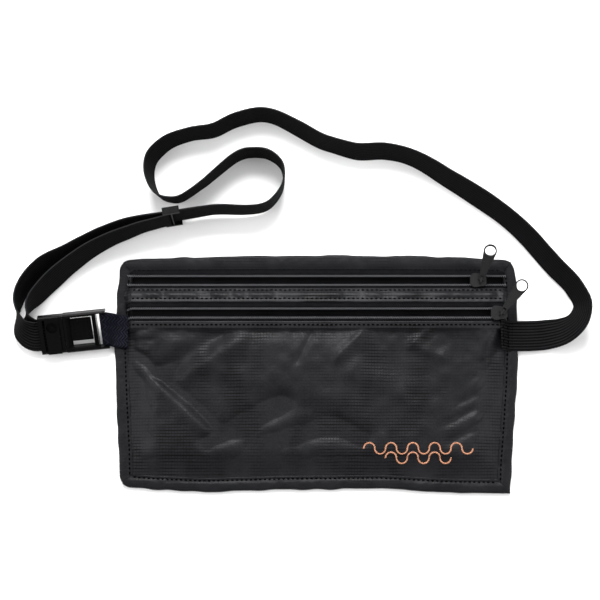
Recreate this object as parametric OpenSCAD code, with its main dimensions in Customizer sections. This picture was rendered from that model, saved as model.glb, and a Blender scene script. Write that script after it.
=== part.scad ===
// Flat travel pouch worn on a waist belt: two zipped pockets, an elastic strap and a side buckle.
// Millimetres. The origin is at the centre of the back panel's underside. +X runs to the strap's
// sewn end, +Y to the zipped top edge and +Z out of the front. The belt lies on its back on Z = 0.

/* [Pouch] */
// Width over the side bindings
pouch_w = 267; // [262:1:272]
// Height over the top and bottom bindings
pouch_h = 152; // [150:1:156]
// Width of the folded binding along each edge
binding_w = 6; // [5:0.5:7]
// Thickness of the binding
binding_t = 2.4; // [2.2:0.1:3]
// Thickness of each fabric panel
cloth_t = 0.5; // [0.4:0.05:0.6]
// Clear depth inside each pocket
pocket_depth = 4.3; // [4.2:0.1:5]
// Length of the stitched motif on the front
motif_l = 70; // [50:1:80]

/* [Zips] */
// Height of the rear pocket's zip above the centre
rear_zip_y = 62; // [61:0.5:63]
// Height of the front pocket's zip above the centre
front_zip_y = 39.5; // [38:0.5:40]
// Clear gap between the two open coils
zip_gap = 4.4; // [4.2:0.1:4.6]
// Diameter of a nylon coil
coil_d = 1.6; // [1.4:0.1:1.6]
// Where the rear slider stands
rear_slider_x = 106; // [100:1:110]
// Where the front slider stands
front_slider_x = 118.5; // [112:0.5:119]
// Length of a slider
slider_l = 10.6; // [10:0.1:11]
// Width of a slider
slider_w = 9.4; // [9.2:0.1:9.6]

/* [Pulls] */
// Distance from a pull's pivot to the centre of its eye
pull_l = 21.4; // [18:0.1:24]
// Radius of the hole in a pull
pull_hole_r = 3.4; // [3:0.1:3.6]
// Radius over the rim round that hole
pull_rim_r = 4.3; // [4.1:0.1:4.6]
// Thickness of a pull
pull_t = 1; // [0.8:0.1:1.1]
// Direction in which the rear pull points, from +X
rear_pull_heading = 74; // [60:1:90]
// How far the rear pull is raised
rear_pull_lift = 36; // [10:1:60]
// Direction in which the front pull points, from +X
front_pull_heading = 53; // [45:1:60]
// How far the front pull is raised
front_pull_lift = 8; // [6:1:20]

/* [Buckle] */
// Length of the socket
socket_l = 28; // [27:0.5:28]
// Width of the buckle
buckle_w = 26; // [26:0.5:27]
// Thickness of the buckle
buckle_t = 7; // [6.5:0.5:7]
// Turn of the buckle in plan
buckle_yaw = 6; // [5:1:7]
// Tilt of the buckle about its own length
buckle_roll = 27; // [26:1:28]

/* [Strap] */
// Width of the elastic
strap_w = 20; // [19:0.5:20]
// Thickness of the elastic
strap_t = 1.3; // [1:0.1:1.3]

/* [Hidden] */
$fn = 48;

cloth_colour = "#2c2c31";
tape_colour = "#242428";
coil_colour = "#34343a";
elastic_colour = "#1d1d20";
webbing_colour = "#1c1e28";
plastic_colour = "#161617";
metal_colour = "#26262a";
thread_colour = "#b5744f";

edge_x = pouch_w / 2;
edge_y = pouch_h / 2;
seam_gap = 0.1;                            // between a panel's edge and its binding
panel_x = edge_x - binding_w - seam_gap;   // half width of the panels
panel_top = edge_y - binding_w - seam_gap;
panel_bottom = -panel_top;
running = 0.35;                            // clearance round a moving part

// levels of the fabric layers, each the height of an upper face
layer_gap = 0.1;                           // between two layers where they meet at a seam
back_top = cloth_t;
rear_top = back_top + pocket_depth + cloth_t;
front_top = rear_top + pocket_depth + cloth_t;
divider_hem = back_top + cloth_t + layer_gap;
front_hem = divider_hem + cloth_t + layer_gap;
coil_lift = 0.25;                          // a coil's centre above the face of its tape
rear_coil_z = rear_top + coil_lift;
front_coil_z = front_top + coil_lift;

// rows up the front, from the bottom binding to the top one
coil_off = (zip_gap + coil_d) / 2;
tape_off = coil_off + coil_d / 2 + 0.05;
front_tape_low_w = 2.6;                    // widths of the tapes that show beside the coils
front_tape_high_w = 5.6;
rear_tape_low_w = 2.2;
front_panel_top = front_zip_y - tape_off - front_tape_low_w;
strip_low = front_zip_y + tape_off + front_tape_high_w;
strip_high = rear_zip_y - tape_off - rear_tape_low_w;
slope_low = front_zip_y + slider_w / 2 + 0.8;
slope_high = rear_zip_y - slider_w / 2 - 0.3;
rear_flat = rear_zip_y + slider_w / 2 + 0.4;
bottom_slope = 13;                         // how far up the filled pocket reaches full depth
divider_slope = 10;
end_wall = 3;                              // short slope at the ends of the zips
end_slope = 12;                            // longer slope at the ends of the panels
side_slope_top = 15;                       // where the long slopes start to shorten

// height of the front's upper face up its middle
roof = [
    [panel_bottom, front_hem],
    [panel_bottom + bottom_slope * 0.3, front_hem + (front_top - front_hem) * 0.5],
    [panel_bottom + bottom_slope * 0.6, front_hem + (front_top - front_hem) * 0.85],
    [panel_bottom + bottom_slope, front_top],
    [slope_low, front_top],
    [slope_high, rear_top],
    [rear_flat, rear_top],
    [panel_top, front_hem]
];
// length of the slope at the panels' ends, which shortens towards the zips
end_slopes = [[side_slope_top, end_slope], [front_panel_top, end_wall]];

function ease(t) = t * t * (3 - 2 * t);

// Grid points of a fabric layer: one row across the front, with its columns dense at both ends.
column_gap = 40;
function layer_row(y, top, hem, slope) =
    let (ends = [0, 0.3, 0.6, 1])
    concat(
        [for (f = ends) [-panel_x + f * slope, y, hem + (top - hem) * ease(f)]],
        [for (k = [-2:2]) [k * column_gap, y, top]],
        [for (k = [3:-1:0]) [panel_x - ends[k] * slope, y, hem + (top - hem) * ease(ends[k])]]
    );

function front_rows(ys) = [for (y = ys) layer_row(y, lookup(y, roof), front_hem, lookup(y, end_slopes))];

// A sheet whose upper face is a grid of points, with its lower face a thickness below.
module sheet(grid, t) {
    rows = len(grid);
    cols = len(grid[0]);
    upper = [for (row = grid) for (p = row) p];
    lower = [for (p = upper) p - [0, 0, t]];
    n = rows * cols;
    rim = concat(
        [for (c = [0:cols - 1]) c],
        [for (r = [1:rows - 1]) r * cols + cols - 1],
        [for (c = [cols - 2:-1:0]) (rows - 1) * cols + c],
        [for (r = [rows - 2:-1:1]) r * cols]
    );
    faces = concat(
        [for (r = [0:rows - 2]) for (c = [0:cols - 2]) for (f = quad(r * cols + c, cols, 0, false)) f],
        [for (r = [0:rows - 2]) for (c = [0:cols - 2]) for (f = quad(r * cols + c, cols, n, true)) f],
        [for (k = [0:len(rim) - 1]) for (f = wall(rim[k], rim[(k + 1) % len(rim)], n)) f]
    );
    polyhedron(concat(upper, lower), faces);
}

function quad(a, cols, shift, flip) =
    let (p = a + shift, q = p + 1, r = p + cols + 1, s = p + cols)
    flip ? [[p, q, r], [p, r, s]] : [[p, r, q], [p, s, r]];
function wall(a, b, n) = [[a, b, b + n], [a, b + n, a + n]];

module back_panel() {
    color(cloth_colour)
        translate([-panel_x, panel_bottom, 0])
            cube([2 * panel_x, panel_top - panel_bottom, back_top]);
}

// The wall between the two pockets, sewn in along the sides, the bottom and under the middle strip.
module divider_panel() {
    ys = [
        panel_bottom, panel_bottom + divider_slope * 0.35, panel_bottom + divider_slope * 0.7,
        panel_bottom + divider_slope, -35, -10, side_slope_top, 25, front_panel_top, slope_high - 1.6
    ];
    heights = [
        [panel_bottom, divider_hem],
        [panel_bottom + divider_slope * 0.35, divider_hem + (rear_top - divider_hem) * 0.15],
        [panel_bottom + divider_slope * 0.7, divider_hem + (rear_top - divider_hem) * 0.6],
        [panel_bottom + divider_slope, rear_top]
    ];
    ends = [[side_slope_top, divider_slope], [front_panel_top, end_wall]];
    color(cloth_colour)
        sheet([for (y = ys) layer_row(y, lookup(y, heights), divider_hem, lookup(y, ends))], cloth_t);
}

module front_panel() {
    ys = [
        panel_bottom, panel_bottom + bottom_slope * 0.3, panel_bottom + bottom_slope * 0.6,
        panel_bottom + bottom_slope, -35, -10, side_slope_top, 25, front_panel_top
    ];
    color(cloth_colour) sheet(front_rows(ys), cloth_t);
}

module middle_strip() {
    color(cloth_colour) sheet(front_rows([strip_low, (strip_low + strip_high) / 2, strip_high]), cloth_t);
}

module front_tape_lower() {
    color(tape_colour) sheet(front_rows([front_panel_top, front_zip_y - tape_off]), cloth_t);
}

module front_tape_upper() {
    color(tape_colour) sheet(front_rows([front_zip_y + tape_off, slope_low, strip_low]), cloth_t);
}

module rear_tape_lower() {
    color(tape_colour) sheet(front_rows([strip_high, slope_high, rear_zip_y - tape_off]), cloth_t);
}

module rear_tape_upper() {
    color(tape_colour) sheet(front_rows([rear_zip_y + tape_off, rear_flat, panel_top]), cloth_t);
}

// One mitred binding, drawn along +X with its outer edge up.
module binding(length) {
    corner = 2.5;
    half = length / 2;
    color(cloth_colour)
        linear_extrude(binding_t)
            polygon([
                [-half + corner, 0], [half - corner, 0], [half - corner / 2, -corner / 2],
                [half - binding_w, -binding_w], [-half + binding_w, -binding_w],
                [-half + corner / 2, -corner / 2]
            ]);
}

module binding_top() {
    translate([0, edge_y, 0]) binding(pouch_w);
}

module binding_bottom() {
    translate([0, -edge_y, 0]) rotate(180) binding(pouch_w);
}

module binding_left() {
    translate([-edge_x, 0, 0]) rotate(90) binding(pouch_h);
}

module binding_right() {
    translate([edge_x, 0, 0]) rotate(-90) binding(pouch_h);
}

// One nylon coil, as the rod that its turns fill.
module coil(y, z) {
    color(coil_colour)
        translate([0, y, z])
            rotate([0, 90, 0])
                cylinder(d = coil_d, h = 2 * (panel_x - end_wall), center = true);
}

module rear_coil_upper() {
    coil(rear_zip_y + coil_off, rear_coil_z);
}

module rear_coil_lower() {
    coil(rear_zip_y - coil_off, rear_coil_z);
}

module front_coil_upper() {
    coil(front_zip_y + coil_off, front_coil_z);
}

module front_coil_lower() {
    coil(front_zip_y - coil_off, front_coil_z);
}

// A slider in its own frame: the origin is on the chain's centre line, halfway up the coils.
plate_t = 0.9;
plate_z = coil_d / 2 + running;        // inner faces of the two plates
bridge_x = 1.6;                        // the bridge stands towards the closed end
bridge_l = 4.8;
bridge_t = 1.4;
pivot_up = 1.35;                       // height of the pull's cross bar over the upper plate
pivot_z = plate_z + plate_t + pivot_up;
tunnel_r = 1;
bar_r = 0.6;

// A plate, rounded at its open end and narrower at its closed end.
module slider_plate() {
    big = 3.2;
    small = 2;
    taper = 0.8;
    linear_extrude(plate_t)
        hull() {
            for (side = [-1, 1]) {
                translate([-slider_l / 2 + big, side * (slider_w / 2 - big)])
                    circle(big, $fn = 32);
                translate([slider_l / 2 - small, side * (slider_w / 2 - small - taper)])
                    circle(small, $fn = 32);
            }
        }
}

// The bridge's outline: a low foot, a round crown and a square post, with a tunnel for the cross bar.
module bridge_outline() {
    foot_h = 1.7;
    crown_r = 3.1;
    crown_z = -1.2;
    post_w = 3.6;
    post_h = 2.6;
    difference() {
        union() {
            translate([-bridge_l / 2, -0.1]) square([bridge_l, foot_h]);
            intersection() {
                translate([0, crown_z]) circle(r = crown_r);
                translate([-bridge_l / 2, 0]) square([bridge_l, crown_r]);
            }
            translate([-post_w / 2, 0]) square([post_w, post_h]);
        }
        translate([0, pivot_up]) circle(r = tunnel_r);
    }
}

module slider(heading) {
    lip_w = 0.6;
    lip_l = 3;
    lip_x = -2.1;
    lip_z = running - coil_lift;
    diamond_r = 1.1;
    diamond_x = -slider_l / 2 + 2.2;
    color(metal_colour) {
        translate([0, 0, plate_z]) slider_plate();
        translate([0, 0, -plate_z - plate_t]) slider_plate();
        // the diamond between the plates, which spreads the chain
        translate([diamond_x, 0, -plate_z]) cylinder(r = diamond_r, h = 2 * plate_z);
        // the lips that close down over the tapes
        for (side = [-1, 1])
            translate([lip_x - lip_l / 2, side * (slider_w - lip_w) / 2 - lip_w / 2, lip_z])
                cube([lip_l, lip_w, plate_z - lip_z + 0.02]);
        translate([bridge_x, 0, plate_z + plate_t])
            rotate(heading)
                rotate([90, 0, 0])
                    linear_extrude(bridge_t, center = true)
                        bridge_outline();
    }
}

module rear_slider() {
    translate([rear_slider_x, rear_zip_y, rear_coil_z]) slider(rear_pull_heading);
}

module front_slider() {
    translate([front_slider_x, front_zip_y, front_coil_z]) slider(front_pull_heading);
}

// A pull in its own frame: the origin is on its cross bar, and it points along +X, lying flat.
pull_neck = 1.9;                       // half width beside the cross bar
pull_window = 3.3;                     // end of the opening that goes round the bridge

// The plate's outline, drawn in by an inset all round.
module pull_outline(inset) {
    rim_r = pull_rim_r - inset;
    neck = pull_neck - inset;
    reach = sqrt(pull_l * pull_l - rim_r * rim_r);
    spread = asin((rim_r - neck) / pull_l);
    polygon([
        [pull_window + inset, -neck], [reach * cos(spread), -rim_r * cos(spread)],
        [reach * cos(spread), rim_r * cos(spread)], [pull_window + inset, neck]
    ]);
    translate([pull_l, 0]) circle(r = rim_r);
}

module pull() {
    rail = 0.8;
    rim_w = 0.8;
    rim_up = 0.25;
    color(metal_colour) {
        rotate([90, 0, 0]) cylinder(r = bar_r, h = 2 * pull_neck, center = true);
        for (side = [-1, 1])
            translate([0, side * (pull_neck - rail / 2) - rail / 2, -pull_t / 2])
                cube([pull_window + 0.1, rail, pull_t]);
        translate([0, 0, -pull_t / 2])
            linear_extrude(pull_t)
                difference() {
                    pull_outline(0);
                    translate([pull_l, 0]) circle(r = pull_hole_r);
                }
        // the raised rim along both edges and round the eye
        translate([0, 0, -pull_t / 2 - rim_up])
            linear_extrude(pull_t + 2 * rim_up)
                difference() {
                    pull_outline(0);
                    difference() {
                        pull_outline(rim_w);
                        translate([pull_l, 0]) circle(r = pull_rim_r);
                    }
                    translate([pull_l, 0]) circle(r = pull_hole_r);
                }
    }
}

module rear_pull() {
    translate([rear_slider_x + bridge_x, rear_zip_y, rear_coil_z + pivot_z])
        rotate([0, -rear_pull_lift, rear_pull_heading])
            pull();
}

module front_pull() {
    translate([front_slider_x + bridge_x, front_zip_y, front_coil_z + pivot_z])
        rotate([0, -front_pull_lift, front_pull_heading])
            pull();
}

// The buckle's frame: the origin is where plug meets socket, +X runs into the socket.
buckle_at = [-164, 26.7, 9.3];
shut_gap = 0.3;                        // between the plug's face and the socket's
rail_w = 3.2;
tongue_w = 15.2;
tongue_low = -1.4;
tongue_high = 0.3;
tongue_y = 1.4;                        // the tongue stands nearer to one rail than to the other
tongue_end = 18;
cavity_z = 1.4;                        // roof of the hollow in the plug, over the strap
window_l = [4.2, 18.6];
web_slot = 21.6;                       // where the socket's slot for the webbing starts
web_bar_x = 26.3;
web_bar_r = 1.6;
plug_l = 16;
plug_t = buckle_t - 0.5;
plug_bar_x = -8.2;
plug_bar_z = -1.2;
plug_bar_r = 1;

module at_buckle() {
    translate(buckle_at)
        rotate([0, 0, buckle_yaw])
            rotate([buckle_roll, 0, 0])
                children();
}

module block(x0, x1, w, z0, z1) {
    translate([x0, -w / 2, z0]) cube([x1 - x0, w, z1 - z0]);
}

// Cutters that ease the four long edges of a block from x0 to x1.
module eased_edges(x0, x1, w, half_t) {
    ease_w = 1.2;
    for (side = [-1, 1])
        for (face = [-1, 1])
            translate([(x0 + x1) / 2, side * w / 2, face * half_t])
                rotate([45, 0, 0])
                    cube([x1 - x0 + 2, ease_w, ease_w], center = true);
}

module socket_shape() {
    half_t = buckle_t / 2;
    window_w = buckle_w - 2 * rail_w;
    bevel = 2.4;
    bevel_side = 0.8;
    bevel_z = 0.9;
    sag = 1;                               // room below the tongue when it is pressed
    headroom = 0.9;
    difference() {
        block(shut_gap, socket_l, buckle_w, -half_t, half_t);
        block(window_l[0], window_l[1], window_w, -half_t - 1, half_t + 1);
        // bevelled sides of the window
        hull() {
            block(window_l[0], window_l[1], window_w, bevel_z, bevel_z + 0.1);
            block(window_l[0] - bevel, window_l[1] + bevel, window_w + 2 * bevel_side, half_t, half_t + 0.2);
        }
        // the passage for the tongue, as wide as the window
        block(-1, window_l[0] + 1, window_w, tongue_low - sag, tongue_high + headroom);
        // the open end for the webbing
        block(web_slot, socket_l + 1, buckle_w - 3.2, -half_t - 1, half_t + 1);
        eased_edges(0, socket_l, buckle_w, half_t);
    }
    translate([web_bar_x, 0, 0])
        rotate([90, 0, 0])
            cylinder(r = web_bar_r, h = buckle_w - 3, center = true);
}

module buckle_socket() {
    color(plastic_colour) at_buckle() socket_shape();
}

module plug_shape() {
    half_t = plug_t / 2;
    body_w = buckle_w - 0.6;
    boss_x = -7.2;
    boss_w = 9;
    boss_up = 0.8;
    cup_y = 5.4;
    cup_r = 3.8;
    cup_deep = 1.3;
    hollow_end = -4.6;
    slot = [-13.2, -11.6];
    slot_w = strap_w + 1.2;
    groove = [-2.5, -1.9];
    root_end = -3.4;
    difference() {
        union() {
            block(-plug_l, 0, body_w, -half_t, half_t);
            // the raised band with one round end
            translate([0, 0, half_t - 0.1])
                linear_extrude(boss_up + 0.1) {
                    translate([boss_x - boss_w / 2, -body_w / 2])
                        square([boss_w, body_w / 2 + cup_y]);
                    translate([boss_x, cup_y]) circle(d = boss_w);
                }
        }
        // the hollow under the band, open below and at the end, where the strap goes round its bar
        block(-plug_l - 1, hollow_end, slot_w, -half_t - 1, cavity_z);
        // the slot between the end bar and the band
        block(slot[0], slot[1], slot_w, 0, half_t + 1);
        // the round cup in the band
        translate([boss_x, cup_y, half_t - cup_deep]) cylinder(r = cup_r, h = 4);
        // the groove before the shoulder
        block(groove[0], groove[1], buckle_w + 2, half_t - 0.5, half_t + 1);
        // the pocket that holds the tongue's root
        translate([0, tongue_y, 0])
            block(root_end, 1, tongue_w + 2 * running, tongue_low - 0.5, tongue_high + running);
        eased_edges(-plug_l, 0, body_w, half_t);
    }
    // the peg in the cup
    translate([boss_x, cup_y, half_t - cup_deep - 0.1]) cylinder(r = 1.1, h = 0.8);
    translate([plug_bar_x, 0, plug_bar_z])
        rotate([90, 0, 0])
            cylinder(r = plug_bar_r, h = slot_w + 0.4, center = true);
}

module buckle_plug() {
    color(plastic_colour) at_buckle() plug_shape();
}

// The tongue that slides into the socket, with a dotted thumb pad in the window.
module buckle_tongue() {
    root = -2.8;
    dot_up = 0.3;
    dot_r = 0.5;
    dot_low = tongue_low + 0.5;
    first_dot = 6.6;
    col_gap = 3;
    row_gap = 2;
    color(plastic_colour)
        at_buckle()
            translate([0, tongue_y, 0]) {
                difference() {
                    block(root, tongue_end, tongue_w, tongue_low, tongue_high - dot_up);
                    // the thinned part on which the tongue bends
                    block(0.6, window_l[0] + 0.2, tongue_w - 4, tongue_low - 1, tongue_low + 0.5);
                }
                for (col = [0:3])
                    for (row = [-3:3])
                        translate([first_dot + col_gap * col, row_gap * row + col % 2 - 0.5, dot_low])
                            cylinder(r = dot_r, h = tongue_high - dot_low, $fn = 16);
            }
}

// A flat band swept through centre points, with a unit width direction at each.
module band(centres, widths, w, t) {
    count = len(centres);
    bevel = t * 0.3;
    outline = [
        [w / 2, -t / 2 + bevel], [w / 2, t / 2 - bevel], [w / 2 - bevel, t / 2], [-w / 2 + bevel, t / 2],
        [-w / 2, t / 2 - bevel], [-w / 2, -t / 2 + bevel], [-w / 2 + bevel, -t / 2], [w / 2 - bevel, -t / 2]
    ];
    sides = len(outline);
    points = [
        for (k = [0:count - 1])
            let (
                ahead = centres[min(k + 1, count - 1)] - centres[max(k - 1, 0)],
                normal = unit(cross(ahead, widths[k]))
            )
            for (p = outline) centres[k] + p[0] * widths[k] + p[1] * normal
    ];
    last = (count - 1) * sides;
    faces = concat(
        [[for (s = [0:sides - 1]) s]],
        [[for (s = [sides - 1:-1:0]) last + s]],
        [for (k = [0:count - 2]) for (s = [0:sides - 1]) for (f = band_quad(k * sides, s, sides)) f]
    );
    polyhedron(points, faces);
}

function band_quad(start, s, sides) =
    let (a = start + s, b = start + (s + 1) % sides, c = b + sides, d = a + sides)
    [[a, c, b], [a, d, c]];
function unit(v) = v / norm(v);

// Webbing tab: a sleeve round the socket's bar, and a tail sewn over the left binding.
module tab_webbing() {
    tab_w = 22;
    sleeve_t = 1.05;
    sleeve_gap = 0.15;
    tail_t = 2.2;
    // places along the tail, with the roll of the webbing at each
    tail = [
        [-134.1, 29.4, 7.7, 22], [-133, 29.1, 6.3, 13], [-130.8, 28.6, 4.4, 4], [-128, 28, 3.6, 0]
    ];
    centres = [for (p = tail) [p[0], p[1], p[2]]];
    widths = [for (p = tail) [0, cos(p[3]), sin(p[3])]];
    color(webbing_colour) {
        at_buckle()
            translate([web_bar_x, 0, 0])
                rotate([90, 0, 0])
                    difference() {
                        cylinder(r = web_bar_r + sleeve_gap + sleeve_t, h = tab_w, center = true);
                        cylinder(r = web_bar_r + sleeve_gap, h = tab_w + 2, center = true);
                    }
        band(centres, widths, tab_w, tail_t);
    }
}

// The elastic's route. Each point is [x, y, lean, lift]: lean is the tilt of the band's upper edge to
// the right of the way it runs, 0 on edge and 90 flat, and lift is how far it is held off the ground.
run_route = [
    [127.6, 25.5, 90, 2.5], [138, 25.5, 90, 2.5], [150, 26.5, 84, 0.8], [161, 29, 64, 0],
    [170, 35.5, 40, 0], [173.5, 45, 26, 0], [169, 56, 24, 0], [156, 71, 26, 0],
    [131, 99, 26, 0], [90, 128.5, 21, 0], [64, 144, 18, 0], [47, 149, 17, 0],
    [26, 149, 17, 0], [7, 154.5, 16, 0], [-40, 174, 11, 0], [-53, 170.5, 12, 0],
    [-68, 163.5, 12, 0], [-85, 160.5, 12, 0], [-101, 153.5, 13, 0], [-110, 144, 14, 0],
    [-110.5, 129, 12, 0], [-104, 118, 7, 0], [-94, 115.5, 3, 0], [-76, 126, 0, 0],
    [-45, 147.5, -4, 0], [-32, 146.5, -3, 0], [-23, 139, 0, 0], [-22.5, 125, 0, 0],
    [-30, 113.5, 1, 0.5], [-70, 108, 5, 2.2], [-95, 103.9, 6.5, 2.4], [-125, 99, 8, 2],
    [-164, 80.5, 15, 0], [-181, 71, 16, 0], [-191, 58.5, 15, 0], [-195, 46, 4, 0],
    [-194.6, 36.5, -18, 0.8], [-191.5, 28.5, -44, 2.7], [-185, 24.4, -61, 4.2], [-173.5, 25.5, -63, 4.6]
];
return_route = [
    [-173.7, 26.8, 63, 1.6], [-181.5, 25.6, 62, 1.1], [-186.4, 29.2, 52, 0], [-188.9, 35.2, 27, 0],
    [-188, 42, 4, 0], [-184, 49, -15, 0], [-179, 55.3, -22, 0], [-174, 61, -26, 0],
    [-162, 72, -22, 0], [-148, 82, -17, 0], [-134, 89.5, -12, 0.8], [-125, 93, -10, 1.5],
    [-117, 96, -8, 2], [-103, 99.9, -6.5, 2.5], [-96.4, 101.5, -6.5, 2.5]
];
ring_step = 16;

function gap_after(r, i) = norm([r[i + 1][0] - r[i][0], r[i + 1][1] - r[i][1]]);
function slope_at(r, i) =
    i == 0 ? (r[1] - r[0]) / gap_after(r, 0)
    : i == len(r) - 1 ? (r[i] - r[i - 1]) / gap_after(r, i - 1)
    : let (before = gap_after(r, i - 1), after = gap_after(r, i))
        ((r[i] - r[i - 1]) * after / before + (r[i + 1] - r[i]) * before / after) / (before + after);
function between(r, i, t) =
    let (d = gap_after(r, i), t2 = t * t, t3 = t2 * t)
    r[i] * (2 * t3 - 3 * t2 + 1) + slope_at(r, i) * d * (t3 - 2 * t2 + t)
        + r[i + 1] * (3 * t2 - 2 * t3) + slope_at(r, i + 1) * d * (t3 - t2);
function smooth_route(r) = concat(
    [
        for (i = [0:len(r) - 2])
            let (steps = ceil(gap_after(r, i) / ring_step))
            for (k = [0:steps - 1]) between(r, i, k / steps)
    ],
    [r[len(r) - 1]]
);
function standing(p) = [p[0], p[1], strap_w / 2 * cos(p[2]) + strap_t / 2 * abs(sin(p[2])) + p[3]];
function leaning(path, k) =
    let (
        ahead = path[min(k + 1, len(path) - 1)] - path[max(k - 1, 0)],
        right = unit([ahead[1], -ahead[0], 0])
    )
    cos(path[k][2]) * [0, 0, 1] + sin(path[k][2]) * right;

module elastic(route) {
    path = smooth_route(route);
    color(elastic_colour)
        band([for (p = path) standing(p)], [for (k = [0:len(path) - 1]) leaning(path, k)], strap_w, strap_t);
}

module strap_run() {
    elastic(run_route);
}

module strap_return() {
    elastic(return_route);
}

// Three-bar adjuster standing on edge round the strap, in its own frame along the strap.
adjuster_at = [-95, 103.9, 12.45];
adjuster_heading = 9.3;
adjuster_lean = 6.5;

module strap_adjuster() {
    cross_r = 0.6;
    length = 11;
    inside = strap_w / 2 + 0.5;
    rail_t = 1.6;
    faces = [-2.8, 2.2];
    bars = [[-4.5, 1.55], [4.5, 1.55], [0, -2.1]];
    color(plastic_colour)
        translate(adjuster_at)
            rotate([0, 0, adjuster_heading])
                rotate([-adjuster_lean, 0, 0]) {
                    for (side = [-1, 1])
                        translate([-length / 2, faces[0], side * (inside + rail_t / 2) - rail_t / 2])
                            cube([length, faces[1] - faces[0], rail_t]);
                    for (bar = bars)
                        translate([bar[0], bar[1], 0])
                            cylinder(r = cross_r, h = 2 * inside + rail_t, center = true, $fn = 24);
                }
}

// Two stitched waves near the lower right corner of the front.
module stitched_motif() {
    start = [30, -48];
    bows = [10, 6];                        // half waves in the upper and the lower line
    indent = 2;                            // how many half waves the lower line starts in
    line_gap = 6;
    line_w = 0.9;
    line_t = 0.4;
    radius = motif_l / (2 * bows[0]);
    color(thread_colour)
        translate([start[0] + radius, start[1], front_top + 0.05])
            for (line = [0, 1])
                for (k = [0:bows[line] - 1])
                    translate([2 * radius * (k + indent * line), -line_gap * line, 0])
                        rotate(k % 2 * 180)
                            rotate_extrude(angle = 180)
                                translate([radius - line_w / 2, 0])
                                    square([line_w, line_t]);
}

back_panel();
divider_panel();
front_panel();
middle_strip();
binding_top();
binding_bottom();
binding_left();
binding_right();
rear_tape_upper();
rear_tape_lower();
front_tape_upper();
front_tape_lower();
rear_coil_upper();
rear_coil_lower();
front_coil_upper();
front_coil_lower();
rear_slider();
front_slider();
rear_pull();
front_pull();
buckle_socket();
buckle_plug();
buckle_tongue();
tab_webbing();
strap_run();
strap_return();
strap_adjuster();
stitched_motif();
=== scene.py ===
"""Money belt: the cloth, zips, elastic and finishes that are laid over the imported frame.

Everything is in metres in the frame's axes: +X to the strap's sewn end, +Y to the zipped top edge
and +Z out of the front. MM turns a size in millimetres into metres.
"""

import math

import bpy
import numpy as np
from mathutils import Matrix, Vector


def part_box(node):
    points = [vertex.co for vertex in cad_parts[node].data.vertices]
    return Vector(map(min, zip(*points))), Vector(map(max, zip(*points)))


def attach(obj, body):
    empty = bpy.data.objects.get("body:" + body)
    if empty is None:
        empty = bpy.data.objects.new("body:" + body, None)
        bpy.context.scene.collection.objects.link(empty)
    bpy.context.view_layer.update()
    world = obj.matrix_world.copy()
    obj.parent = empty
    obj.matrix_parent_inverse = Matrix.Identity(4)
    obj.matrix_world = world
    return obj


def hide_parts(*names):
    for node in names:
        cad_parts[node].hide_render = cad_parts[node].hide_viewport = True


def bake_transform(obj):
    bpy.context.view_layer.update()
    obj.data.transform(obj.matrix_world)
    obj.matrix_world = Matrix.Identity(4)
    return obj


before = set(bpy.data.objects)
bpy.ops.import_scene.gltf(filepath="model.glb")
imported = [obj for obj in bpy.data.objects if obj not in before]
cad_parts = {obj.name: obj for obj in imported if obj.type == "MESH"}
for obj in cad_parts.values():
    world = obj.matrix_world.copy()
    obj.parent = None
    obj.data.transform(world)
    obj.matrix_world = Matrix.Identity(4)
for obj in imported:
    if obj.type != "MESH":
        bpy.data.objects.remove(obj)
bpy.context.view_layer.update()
MM = 0.001
UP = np.array([0, 0, 1.0])


# ---------------------------------------------------------------- the frame's sizes

def span(node):
    low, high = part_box(node)
    return np.array(low), np.array(high)


EDGE_X = span("binding_top")[1][0]
EDGE_Y = span("binding_top")[1][1]
BINDING_T = span("binding_top")[1][2] + 0.5 * MM
PANEL_X, PANEL_Y, BACK_TOP = span("back_panel")[1]
FRONT_TOP = span("front_panel")[1][2]
REAR_TOP = span("divider_panel")[1][2]
HEM_TOP = span("front_panel")[0][2] + 0.5 * MM
FRONT_EDGE = span("front_panel")[1][1] + 1.3 * MM
STRIP_LOW, STRIP_HIGH = span("middle_strip")[0][1], span("middle_strip")[1][1]
COIL_R = (span("rear_coil_upper")[1][2] - span("rear_coil_upper")[0][2]) / 2
COIL_END = span("rear_coil_upper")[1][0]
STRAP_W = 20 * MM
STRAP_T = 1.3 * MM


def middle(node):
    low, high = span(node)
    return (low + high) / 2


# ---------------------------------------------------------------- small tools

def ease(t):
    t = np.clip(t, 0, 1)
    return t * t * (3 - 2 * t)


def unit(v):
    return v / np.maximum(np.linalg.norm(v, axis=-1, keepdims=True), 1e-12)


def field(seed, cell):
    """Smooth seeded noise over the plane, from -1 to 1, with features about a cell across."""
    size = 64
    grid = np.random.default_rng(seed).uniform(-1, 1, (size, size))

    def sample(x, y):
        u, v = np.asarray(x) / cell, np.asarray(y) / cell
        i, j = np.floor(u).astype(int), np.floor(v).astype(int)
        s, t = ease(u - i), ease(v - j)
        i, j, i1, j1 = i % size, j % size, (i + 1) % size, (j + 1) % size
        low = grid[i, j] * (1 - s) + grid[i1, j] * s
        high = grid[i, j1] * (1 - s) + grid[i1, j1] * s
        return low * (1 - t) + high * t

    return sample


def curve_through(points):
    """A smooth function of one value through given (place, value) pairs, in millimetres."""
    places = np.array([p[0] for p in points], float) * MM
    values = np.array([p[1] for p in points], float) * MM

    def at(v):
        fine = np.linspace(places[0], places[-1], 200)
        soft = np.interp(fine, places, values)
        for _ in range(12):
            soft[1:-1] = (soft[:-2] + 2 * soft[1:-1] + soft[2:]) / 4
        return np.interp(v, fine, soft)

    return at


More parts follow.
